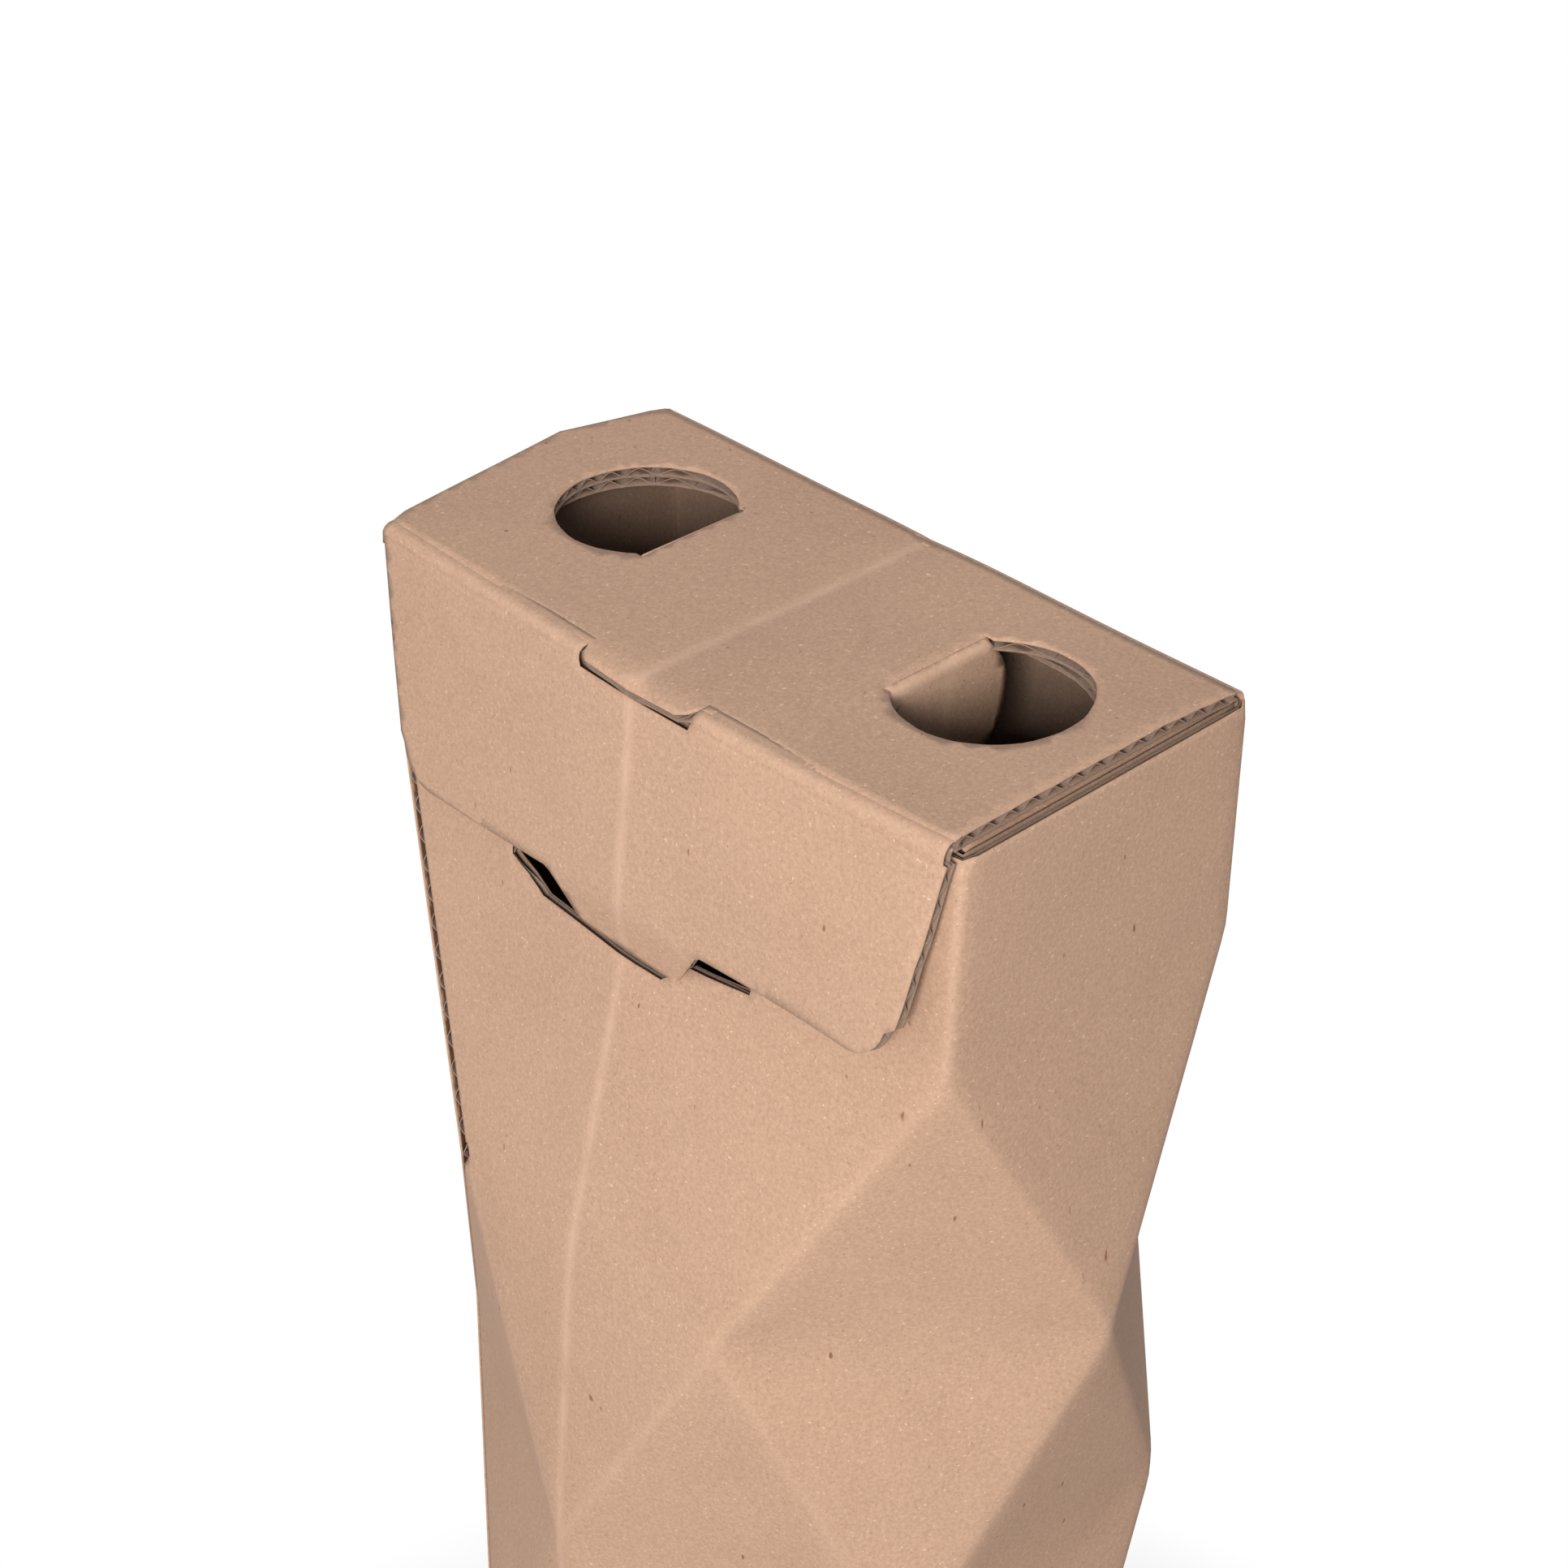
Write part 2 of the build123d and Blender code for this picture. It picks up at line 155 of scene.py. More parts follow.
def grid_points(outer, step):
    """Rows of points over the outline's box, every other row shifted by half a step."""
    lo = np.min(np.array(outer), axis=0)
    hi = np.max(np.array(outer), axis=0)
    points = []
    row = 0
    y = lo[1] + step / 2
    while y < hi[1]:
        shift = (row % 2) * step / 2
        x = lo[0] + step / 4 + shift
        while x < hi[0]:
            points.append((x, y))
            x += step
        y += step * ROW_HEIGHT
        row += 1
    return np.array(points)


def crease_points(creases, step):
    """Close rows of points along the creases, one point a place."""
    points = []
    taken = set()
    for a, b in creases:
        a, b = np.array(a, float), np.array(b, float)
        length = np.linalg.norm(b - a)
        along = (b - a) / length
        across = np.array([-along[1], along[0]])
        count = max(2, int(length / (step * 0.8)))
        for off in sorted({o * s for o in CREASE_ROWS for s in (1, -1)}):
            for j in range(count + 1):
                p = a + along * length * j / count + across * off
                key = (round(p[0] / SAME_PLACE), round(p[1] / SAME_PLACE))
                if key not in taken:
                    taken.add(key)
                    points.append(p)
    return points


def flat_mesh(outer, holes, creases, step):
    """Triangulates a flat blank with exact edges and close rows of points along its creases."""
    points, edges = [], []
    for loop in [resample(outer, step)] + [resample(hole, step * 0.6) for hole in holes]:
        start = len(points)
        points += loop
        edges += [(start + i, start + (i + 1) % len(loop)) for i in range(len(loop))]
    inner = grid_points(outer, step)
    if creases:
        inner = inner[distance_to(inner, creases) > CREASE_ROWS[-1] + 0.4 * step]
        inner = np.vstack([inner, crease_points(creases, step)])
    inner = inner[on_board(inner, outer, holes)]
    borders = [segment for loop in [outer] + holes for segment in closed(loop)]
    inner = inner[distance_to(inner, borders) > EDGE_CLEAR]
    points += [tuple(p) for p in inner]
    flat = [Vector((float(x), float(y))) for x, y in points]
    verts, _, faces, _, _, _ = delaunay_2d_cdt(flat, edges, [], 0, 1e-5)
    v = np.array([(q.x, q.y) for q in verts])
    f = np.array([tuple(t) for t in faces])
    return v, f[on_board(v[f].mean(axis=1), outer, holes)]


def vertex_normals(p, f):
    n = np.cross(p[f[:, 1]] - p[f[:, 0]], p[f[:, 2]] - p[f[:, 0]])
    out = np.zeros_like(p)
    for k in range(3):
        np.add.at(out, f[:, k], n)
    length = np.linalg.norm(out, axis=1)
    length[length == 0] = 1
    return out / length[:, None]


def facing(p, f, direction):
    """Vertex normals and faces, turned so that the normals point along direction."""
    n = vertex_normals(p, f)
    if (n * direction).sum(axis=1).mean() < 0:
        return -n, f[:, ::-1]
    return n, f


def border_edges(f):
    """Directed edges that belong to one triangle only."""
    found = {}
    for t in f:
        for i in range(3):
            a, b = int(t[i]), int(t[(i + 1) % 3])
            if (b, a) in found:
                del found[(b, a)]
            else:
                found[(a, b)] = True
    return list(found)


def slab(name, p, n, f, top, bottom):
    """A closed sheet between two depths under the surface p."""
    k = len(p)
    verts = np.vstack([p - n * top, p - n * bottom])
    faces = [tuple(int(i) for i in t) for t in f]
    faces += [tuple(int(i) + k for i in t[::-1]) for t in f]
    faces += [(b, a, a + k, b + k) for a, b in border_edges(f)]
    return make_mesh(name, verts, faces)


def mark_crease(obj, values):
    """Stores how much each point of the upper side is creased, which paints a highlight there. The
    points under it are plain.
    """
    values = np.concatenate([values, np.zeros(len(values))])
    attribute = obj.data.attributes.new("crease", "FLOAT", "POINT")
    attribute.data.foreach_set("value", np.asarray(values, np.float32))


def raw_edges(v, f, outline, holes, skip):
    """Cut edges of a blank: both ends, the way inwards, whether it lies on the right, the reach."""
    edges = []
    for a, b in border_edges(f):
        if skip and skip(v[a]) and skip(v[b]):
            continue
        run = v[b] - v[a]
        length = np.linalg.norm(run)
        if length < 1e-6:
            continue
        way = np.array([-run[1], run[0]]) / length
        middle = (v[a] + v[b]) / 2
        probes = np.array([middle + way * r for r in (PROBE, -PROBE, FLUTE_REACH, -FLUTE_REACH)])
        left, right, far_left, far_right = on_board(probes, outline, holes)
        if left == right:
            continue
        if right:
            way = -way
        deep = far_right if right else far_left
        edges.append((a, b, way, bool(right), FLUTE_REACH if deep else FLUTE_SHORT))
    return edges


# Each short piece has four corners at either end: high and low at the raw edge, then further in.
FLUTE_FACES = ((0, 2, 6, 4), (1, 5, 7, 3), (0, 4, 5, 1), (2, 3, 7, 6))


def flutes(name, v, p, n, f, outline, holes, skip):
    """The fluted sheet behind each raw edge: a wave between the liners, seen from the side."""
    edges = raw_edges(v, f, outline, holes, skip)
    usual = sum(edge[3] for edge in edges) * 2 > len(edges)
    middle = BOARD / 2
    swing = middle - LINER - FLUTED / 2
    verts, faces = [], []
    for a, b, way, on_right, reach in edges:
        run = v[b] - v[a]
        inward = unit(np.cross((n[a] + n[b]) / 2, unit(p[b] - p[a])))
        if on_right != usual:
            inward = -inward
        count = max(1, int(math.ceil(np.linalg.norm(run) / FLUTE_STEP)))
        for j in range(count):
            start = len(verts)
            for t in (j / count, (j + 1) / count):
                base = p[a] + (p[b] - p[a]) * t
                normal = n[a] + (n[b] - n[a]) * t
                for r in (FLUTE_INSET, reach):
                    along = (v[a] + run * t + way * r)[1]
                    depth = middle + swing * math.sin(2 * math.pi * along / FLUTE)
                    for half in (-FLUTED / 2, FLUTED / 2):
                        verts.append(base + inward * r - normal * (depth + half))
            faces += [tuple(start + i for i in face) for face in FLUTE_FACES]
    return make_mesh(name, verts, faces, smooth=False)


# Materials
WHITE, BLACK = (1.0, 1.0, 1.0), (0.0, 0.0, 0.0)


def times(colour, *factors):
    return tuple(channel * factor for channel, factor in zip(colour, factors))


class Look:
    """A material's nodes, with a short call for each kind that the board needs."""

    def __init__(self, name):
        self.material = bpy.data.materials.new(name)
        self.material.use_nodes = True
        self.tree = self.material.node_tree
        self.tree.nodes.clear()
        self.place = self.add("ShaderNodeTexCoord").outputs["Object"]

    def add(self, kind):
        return self.tree.nodes.new(kind)

    def feed(self, socket, value):
        """Gives a socket a number, a colour or a link."""
        if isinstance(value, float):
            socket.default_value = value
        elif isinstance(value, tuple):
            socket.default_value = (*value, 1)
        else:
            self.tree.links.new(value, socket)

    def noise(self, scale, detail, roughness, stretch=None):
        node = self.add("ShaderNodeTexNoise")
        node.inputs["Scale"].default_value = scale
        node.inputs["Detail"].default_value = detail
        node.inputs["Roughness"].default_value = roughness
        place = self.place
        if stretch:
            mapping = self.add("ShaderNodeMapping")
            mapping.inputs["Scale"].default_value = stretch
            self.feed(mapping.inputs["Vector"], place)
            place = mapping.outputs[0]
        self.feed(node.inputs["Vector"], place)
        return node.outputs[0]

    def ramp(self, source, *stops):
        node = self.add("ShaderNodeValToRGB")
        marks = node.color_ramp.elements
        while len(marks) < len(stops):
            marks.new(0.5)
        for mark, (position, colour) in zip(marks, stops):
            mark.position = position
            mark.color = (*colour, 1)
        self.feed(node.inputs[0], source)
        return node.outputs[0]

    def mix(self, kind, share, a, b):
        node = self.add("ShaderNodeMix")
        node.data_type = "RGBA"
        node.blend_type = kind
        node.clamp_factor = True
        for index, value in ((0, share), (6, a), (7, b)):
            self.feed(node.inputs[index], value)
        return node.outputs[2]

    def combine(self, operation, a, b):
        node = self.add("ShaderNodeMath")
        node.operation = operation
        self.feed(node.inputs[0], a)
        self.feed(node.inputs[1], b)
        return node.outputs[0]


def kraft(name, base, crease_highlight_gain=1.0, roughness=0.82):
    """Matte brown paper: cloudy, fibrous and flecked, with a highlight painted along its creases."""
    look = Look(name)
    clouds = look.ramp(
        look.noise(55.0, 5.0, 0.6),
        (0.30, times(base, 0.90, 0.88, 0.86)),
        (0.52, base),
        (0.72, times(base, 1.07, 1.06, 1.05)),
    )
    threads = look.ramp(look.noise(1900.0, 3.0, 0.75), (0.34, BLACK), (0.68, WHITE))
    fibres = look.mix("MIX", threads, times(base, 0.78, 0.76, 0.74), times(base, 1.17, 1.17, 1.16))
    colour = look.mix("MIX", 0.6, clouds, fibres)
    dots = look.ramp(look.noise(2300.0, 2.0, 0.6), (0.26, WHITE), (0.34, BLACK))
    colour = look.mix("MULTIPLY", dots, colour, (0.72, 0.64, 0.58))
    flecks = look.ramp(look.noise(2300.0, 2.0, 0.5, (1.0, 0.6, 1.0)), (0.665, BLACK), (0.74, WHITE))
    colour = look.mix("MIX", flecks, colour, times(base, 1.42, 1.46, 1.5))
    specks = look.ramp(look.noise(760.0, 1.5, 0.4, (1.0, 1.0, 0.35)), (0.20, WHITE), (0.24, BLACK))
    colour = look.mix("MULTIPLY", specks, colour, (0.55, 0.42, 0.34))
    # Painted highlight: the colour turns paler along the creases, in uneven patches.
    crease = look.add("ShaderNodeAttribute")
    crease.attribute_name = "crease"
    patches = look.ramp(look.noise(160.0, 4.0, 0.6), (0.3, (0.35, 0.35, 0.35)), (0.62, WHITE))
    crease_highlight = look.combine("MULTIPLY", crease.outputs["Fac"], patches)
    share = look.combine("MULTIPLY", crease_highlight, 0.62 * crease_highlight_gain)
    colour = look.mix("MIX", share, colour, times(base, 1.32, 1.36, 1.4))
    bump = look.add("ShaderNodeBump")
    bump.inputs["Strength"].default_value = 0.28
    bump.inputs["Distance"].default_value = 0.0002
    relief = look.combine("ADD", look.noise(700.0, 4.0, 0.65), look.noise(130.0, 3.0, 0.5))
    look.feed(bump.inputs["Height"], relief)
    shader = look.add("ShaderNodeBsdfPrincipled")
    shader.inputs["Roughness"].default_value = roughness
    shader.inputs["Specular IOR Level"].default_value = 0.22
    look.feed(shader.inputs["Base Color"], colour)
    look.feed(shader.inputs["Normal"], bump.outputs[0])
    look.feed(look.add("ShaderNodeOutputMaterial").inputs[0], shader.outputs[0])
    return look.material


outer_mat = kraft("kraft_outer", (0.56, 0.358, 0.246))
# The inner liner is darker than the outer: partly its own colour, partly painted shade for the
# inside of the box.
inner_mat = kraft("kraft_inner", (0.31, 0.205, 0.148), crease_highlight_gain=0.0)
flute_mat = kraft("kraft_fluted", (0.30, 0.215, 0.170), crease_highlight_gain=0.0, roughness=0.9)


def dress(obj, mat, body):
    """Gives a piece its material and body. The folds have no body here: they are blended."""
    obj.data.materials.clear()
    obj.data.materials.append(mat)
    if body:
        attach(obj, body)


def board(names, body, blank, crease, outline, holes=(), skip=None, depth=BOARD):
    """One board: its two liners, and the fluting that shows at its raw edges."""
    v, p, n, f = blank
    outer = slab(names[0], p, n, f, 0.0, LINER)
    mark_crease(outer, crease)
    dress(outer, outer_mat, body)
    dress(slab(names[1], p, n, f, BOARD - LINER, depth), inner_mat, body)
    dress(flutes(names[2], v, p, n, f, outline, holes, skip), flute_mat, body)
    return outer


# Rows of folds of the walls
def pick(values, i):
    return values[min(i, len(values) - 1)]


def corner_ring(z, turn, setback=0.0):
    """A row whose folds meet at the box's corners K and at the broad panels' middles C."""
    a = math.radians(turn)
    return {
        "kind": "corner",
        "z": z,
        "kx": HALF_W * math.cos(a),
        "ky": HALF_D,
        "cy": HALF_D + HALF_W * math.sin(a),
        "front": setback,
    }


def middle_ring(z, turn, ridge):
    """A row whose folds meet on the broad panels at F and C and on the sides' middles at L."""
    a, b = math.radians(turn), math.radians(ridge)
    fx = HALF_W / 2 * math.cos(b)
    fy = CORNER_PANEL * math.sin(a)
    return {
        "kind": "middle",
        "z": z,
        "fx": fx,
        "fy": fy,
        "lx": fx + CORNER_PANEL * math.cos(a),
        "cy": fy + HALF_W / 2 * math.sin(b),
    }


def wall_rings():
    # The top row is straight, and as wide as the first row that turns.
    top = corner_ring(WALL_TOP, 0.0, TOP_SETBACK)
    top["kx"] = HALF_W * math.cos(math.radians(CORNER_TURNS[0]))
    result = [top]
    for row in range(ROW_COUNT):
        z = HEIGHT - FIRST_ROW - row * ROW_PITCH
        if row % 2 == 0:
            result.append(corner_ring(z, pick(CORNER_TURNS, row // 2)))
        else:
            turn, ridge = pick(MIDDLE_TURNS, row // 2), pick(MIDDLE_RIDGES, row // 2)
            result.append(middle_ring(z, turn, ridge))
    return result + [corner_ring(0.0, CORNER_TURNS[-1])]


rings = wall_rings()

# Around the blank: u runs from the glued corner over the front, right, back and left.
FRONT = 2 * HALF_W
SIDE = 2 * HALF_D
ROUND = 2 * (FRONT + SIDE)
CORNER_U = [0, FRONT, FRONT + SIDE, 2 * FRONT + SIDE, ROUND]
CORNER_SIGNS = [(-1, -1), (1, -1), (1, 1), (-1, 1), (-1, -1)]
CENTRE_MARK, LOWER_MARK, FACET_MARK = 1.0, 0.45, 0.3  # how deep each crease is pressed in and how strong its painted highlight is


def ring_point(ring, name, sx, sy):
    z = ring["z"]
    if ring["kind"] == "corner":
        back = ring["front"] if sy < 0 else 0.0
        if name == "K":
            return (sx * ring["kx"], sy * (ring["ky"] - back), z)
        return (0.0, sy * (ring["cy"] - back), z)
    if name == "F":
        return (sx * ring["fx"], sy * ring["fy"], z)
    if name == "L":
        return (sx * ring["lx"], 0.0, z)
    return (0.0, sy * ring["cy"], z)


def spot(ring, name, u, sx, sy):
    """A point where folds meet: its flat place and its place in space."""
    return ((u, ring["z"]), ring_point(ring, name, sx, sy))


def facet_spot(ring, u, sx, sy):
    """Where the box's corner line crosses a corner facet in a row between."""
    side_end = np.array(ring_point(ring, "L", sx, 0))
    broad_end = np.array(ring_point(ring, "F", sx, sy))
    return ((u, ring["z"]), tuple(side_end + (broad_end - side_end) * SIDE_SHARE))


def straight_cells(a, b, c):
    """One panel between two rows of the same kind."""
    u0, u1 = CORNER_U[c], CORNER_U[c + 1]
    um = (u0 + u1) / 2
    sign0, sign1 = CORNER_SIGNS[c], CORNER_SIGNS[c + 1]
    a0, a1 = spot(a, "K", u0, *sign0), spot(a, "K", u1, *sign1)
    b0, b1 = spot(b, "K", u0, *sign0), spot(b, "K", u1, *sign1)
    edge = ((u0, a["z"]), (u0, b["z"]), FACET_MARK)
    if c % 2:
        return [(a0, a1, b1), (a0, b1, b0)], [edge]
    am, bm = spot(a, "C", um, 0, sign0[1]), spot(b, "C", um, 0, sign0[1])
    centre = ((um, a["z"]), (um, b["z"]), CENTRE_MARK)
    return [(a0, am, bm), (a0, bm, b0), (am, a1, b1), (am, b1, bm)], [centre, edge]


def broad_cells(corner, middle, c):
    """The front or the back between a corner row and a middle row."""
    u0, u1 = CORNER_U[c], CORNER_U[c + 1]
    um = (u0 + u1) / 2
    v0, v1 = u0 + HALF_W / 2, u1 - HALF_W / 2
    sign0, sign1 = CORNER_SIGNS[c], CORNER_SIGNS[c + 1]
    zc, zm = corner["z"], middle["z"]
    k0, k1 = spot(corner, "K", u0, *sign0), spot(corner, "K", u1, *sign1)
    f0, f1 = spot(middle, "F", v0, *sign0), spot(middle, "F", v1, *sign1)
    cc, cm = spot(corner, "C", um, 0, sign0[1]), spot(middle, "C", um, 0, sign0[1])
    m0, m1 = facet_spot(middle, u0, *sign0), facet_spot(middle, u1, *sign1)
    tri = [(k0, f0, cc), (cc, f0, cm), (cc, cm, f1), (cc, f1, k1), (k0, m0, f0), (k1, f1, m1)]
    lines = [((um, zc), (um, zm), CENTRE_MARK)]
    lines += [((u, zc), (v, zm), FACET_MARK) for u, v in ((u0, v0), (u1, v1))]
    if zc < zm:
        lines += [((um, zc), (v, zm), LOWER_MARK) for v in (v0, v1)]
    return tri, lines


def narrow_cells(corner, middle, c):
    """A narrow side between a corner row and a middle row."""
    u0, u1 = CORNER_U[c], CORNER_U[c + 1]
    um = (u0 + u1) / 2
    sign0, sign1 = CORNER_SIGNS[c], CORNER_SIGNS[c + 1]
    k0, k1 = spot(corner, "K", u0, *sign0), spot(corner, "K", u1, *sign1)
    side = spot(middle, "L", um, sign0[0], 0)
    tri = [(k0, k1, side)]
    tri += [(k0, side, facet_spot(middle, u0, *sign0)), (k1, side, facet_spot(middle, u1, *sign1))]
    return tri, [((u, corner["z"]), (um, middle["z"]), FACET_MARK) for u in (u0, u1)]


def cells():
    """Triangles of the blank, with flat and solid corners, and its crease lines."""
    triangles, lines = [], []
    for a, b in zip(rings, rings[1:]):
        corner, middle = (a, b) if a["kind"] == "corner" else (b, a)
        for c in range(4):
            if a["kind"] == b["kind"]:
                tri, line = straight_cells(a, b, c)
            elif c % 2 == 0:
                tri, line = broad_cells(corner, middle, c)
            else:
                tri, line = narrow_cells(corner, middle, c)
            triangles += tri
            lines += line
    flat = np.array([[q[0] for q in t] for t in triangles], float)
    solid = np.array([[q[1] for q in t] for t in triangles], float)
    return flat, solid, lines


FLAT_TRI, SOLID_TRI, LINES = cells()


def wall_point(q):
    """Place in space of flat points (u, z); u past the end wraps round the corner."""
    q = np.array(q, float).reshape(-1, 2).copy()
    q[:, 0] = np.mod(q[:, 0], ROUND)
    q[:, 1] = np.clip(q[:, 1], 0.0, WALL_TOP)
    out = np.zeros((len(q), 3))
    best = np.full(len(q), -1e9)
    for flat, solid in zip(FLAT_TRI, SOLID_TRI):
        lo, hi = flat.min(axis=0) - 1e-6, flat.max(axis=0) + 1e-6
        near = np.where(((q >= lo) & (q <= hi)).all(axis=1))[0]
        a, b, c = flat
        sides = np.array([b - a, c - a]).T
        if not len(near) or abs(np.linalg.det(sides)) < TINY:
            continue
        st = (np.linalg.inv(sides) @ (q[near] - a).T).T
        w = np.column_stack([1 - st.sum(axis=1), st])
        score = w.min(axis=1)
        better = score > best[near]
        best[near[better]] = score[better]
        out[near[better]] = w[better] @ solid
    return out


def seam_at(z):
    """u of the glued seam, where the left side's raw edge lies over the front panel."""
    zs = [r["z"] for r in rings][::-1]
    us = [HALF_W / 2 if r["kind"] == "middle" else 0.0 for r in rings][::-1]
    return np.interp(z, zs, us)


def moved(segments, du):
    """Segments of the blank, with any marks they carry, moved along u."""
    return [((a[0] + du, a[1]), (b[0] + du, b[1]), *rest) for a, b, *rest in segments]


seam = [(float(seam_at(r["z"])), r["z"]) for r in rings]

# Rounding of the folds: radius of the disc, and its rings of samples with their weights.
SOFT_SHARE, SOFT_MIN, SOFT_MAX = 0.9, 2.7, 15.0
SOFT_RINGS = ((0.33, 1.4), (0.66, 1.0), (1.0, 0.6))
SOFT_CENTRE = 2.0


def soft_wall_point(q, folds):
    """wall_point averaged over a small disc, so that folds are rounded and facets flow."""
    radius = np.clip(SOFT_SHARE * distance_to(q, folds), SOFT_MIN, SOFT_MAX)
    # The raw edge at the far end of the sheet stays sharp.
    ends = moved(zip(seam, seam[1:]), ROUND)
    sharp = np.minimum(radius, SOFT_SHARE * distance_to(q, ends) + 0.01)
    radius = np.where(q[:, 0] > ROUND / 2, sharp, radius)
    total = wall_point(q) * SOFT_CENTRE
    weight = SOFT_CENTRE
    for share, w in SOFT_RINGS:
        for k in range(4):
            a = math.pi * (k + 0.5 * share) / 4
            dz = radius * share * math.sin(a)
            room = np.minimum(q[:, 1], WALL_TOP - q[:, 1])
            dz = np.clip(dz, -room, room)
            step = np.column_stack([radius * share * math.cos(a), dz])
            total += w * (wall_point(q + step) + wall_point(q - step))
            weight += w * 2
    return total / weight


# Walls
GLUE = 6.0  # width of the glue strip, which lies under the left side
GLUE_STEP = BOARD + 0.12
GLUE_BLEND = 20.0  # length over which the front panel comes out of that step
NEXT_ROUND = 30.0  # creases this close to one end of the blank are repeated past the other
CREASE_WIDTH = 0.75
CREASE_DEPTH = 0.10
flap_z = HEIGHT - FLAP_DROP
lip_z = flap_z - TONGUE_DROP - 0.4

# The cut for the tongue. From above, the flap's edge hides its top, so its shoulders reach
# further down. Each corner is x and the depth under the flap's edge.
CUT_LEFT = [(-24.0, -1.0), (-23.6, 3.4), (-19.8, 4.6)]
CUT_LIP = [-16.4, 6.6]  # x alone: these two lie at the height of the lip
CUT_RIGHT = [(10.6, 4.0), (13.5, 3.9), (20.6, 3.3), (21.0, -1.0)]


def bottom_z(x):
    """Height of the flap's lower edge, which is a little skew."""
    return flap_z + FLAP_SKEW * x / END_X


def make_walls():
    outline = [(u - GLUE, z) for u, z in seam] + [(u + ROUND, z) for u, z in seam[::-1]]
    cut = [(HALF_W + x, bottom_z(x) - depth) for x, depth in CUT_LEFT]
    cut += [(HALF_W + x, lip_z) for x in CUT_LIP]
    cut += [(HALF_W + x, bottom_z(x) - depth) for x, depth in CUT_RIGHT]
    marked = LINES + moved([s for s in LINES if s[0][0] < NEXT_ROUND], ROUND)
    marked += moved([s for s in LINES if s[0][0] > ROUND - NEXT_ROUND], -ROUND)
    creases = [(a, b) for a, b, _ in marked]
    v, f = flat_mesh(outline, [cut], creases, 2.6)
    from_seam = v[:, 0] - seam_at(v[:, 1])
    glued = from_seam < -0.02
    shift = np.where(glued, 0.0, GLUE_STEP * np.clip(1 - from_seam / GLUE_BLEND, 0, 1))
    p = soft_wall_point(np.column_stack([v[:, 0] + shift, v[:, 1]]), creases)
    n, f = facing(p, f, p * (1, 1, 0))
    p = p - n * np.where(glued, GLUE_STEP, 0.0)[:, None]
    # How creased each point is: it presses the crease in, and through the liner's attribute it
    # paints a highlight along it.
    crease = np.zeros(len(v))
    for a, b, mark in marked:
        crease = np.maximum(crease, mark * near_line(v, [(a, b)], CREASE_WIDTH))
    p = p - n * (CREASE_DEPTH * crease)[:, None]
    blank = (v, p, vertex_normals(p, f), f)
    names = ("walls_outer_liner", "walls_inner_liner", "walls_fluting")
    walls = board(names, "carton", blank, crease, outline, [cut])
    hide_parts("carton")


def make_floor():
    """A plain hexagon inside the walls' foot."""
    inset = 1.16 * (BOARD + 0.05)
    corners = ((1, -1, "K"), (1, 1, "K"), (0, 1, "C"), (-1, 1, "K"), (-1, -1, "K"), (0, -1, "C"))
    outline = []
    for sx, sy, kind in corners:
        x, y, _ = ring_point(rings[-1], kind, sx, sy)
        r = math.hypot(x, y)
        outline.append((x * (1 - inset / r), y * (1 - inset / r)))
    v, f = flat_mesh(outline, [], [], 4.0)
    p = np.column_stack([v, np.full(len(v), BOARD + 0.02)])
    _, f = facing(p, f, (0, 0, 1))
    n = np.tile([0.0, 0.0, 1.0], (len(v), 1))
    dress(slab("floor_board", p, n, f, 0.0, BOARD), inner_mat, "carton")


make_walls()
make_floor()

# Dust flaps under the lid, each over a rounded shoulder
SHOULDER = 3.0
ARC = SHOULDER * math.pi / 2
DUST_GAP = 0.8
DUST_INNER_X = 9.0
NOTCH_MARGIN = 3.2  # room in front of the finger hole
wall_x = rings[0]["kx"]


def dust_point(q, side):
    """q = (s, y): s runs up the wall, over the shoulder and in under the lid."""
    s, y = q[:, 0], q[:, 1]
    a = np.clip(s / SHOULDER, 0, math.pi / 2)
    on = s > 0
    x = np.where(on, wall_x - SHOULDER + SHOULDER * np.cos(a), wall_x)
    z = np.where(on, WALL_TOP - SHOULDER + SHOULDER * np.sin(a), WALL_TOP - SHOULDER + s)
    flat = s > ARC
    x = np.where(flat, wall_x - SHOULDER - (s - ARC), x)
    z = np.where(flat, WALL_TOP, z)
    return np.column_stack([side * x, y, z])


def s_of(x):
    """Where along s a dust flap reaches x under the lid."""
    return ARC + wall_x - SHOULDER - x


def dust_outline():
    """A rectangle with a round notch that leaves the finger hole free."""
    front = -HALF_D + TOP_SETBACK + BOARD + DUST_GAP
    back = HALF_D - BOARD - DUST_GAP
    notch_front = HOLE_Y - HOLE_R - NOTCH_MARGIN
    notch_back = HOLE_Y + HOLE_R + DUST_GAP
    radius = (notch_back - notch_front) / 2
    x, y = HOLE_X + HOLE_R + DUST_GAP - radius, (notch_front + notch_back) / 2
    inner = s_of(DUST_INNER_X)
    loop = [(0.0, front), (inner, front), (inner, notch_front)]
    for t in np.linspace(-math.pi / 2, math.pi / 2, 17):
        loop.append((s_of(x + radius * math.cos(t)), y + radius * math.sin(t)))
    return loop + [(inner, notch_back), (inner, back), (0.0, back)]


def make_dust_flap(side, label):
    outline = dust_outline()
    front, back = outline[0][1], outline[-1][1]
    folds = [((s, front), (s, back)) for s in (0.8, 2.6)]
    v, f = flat_mesh(outline, [], folds, 2.4)
    p = dust_point(v, side)
    n, f = facing(p, f, (0, 0, 1))
    # A painted highlight along the rounded shoulder.
    crease = 0.5 * np.exp(-(((v[:, 0] - 2) / 1.4) ** 2))
    names = ["dust_flap_%s_%s" % (label, part) for part in ("liner", "inner", "fluting")]
    board(names, "carton", (v, p, n, f), crease, outline)


for side, label in ((1, "right"), (-1, "left")):
    make_dust_flap(side, label)

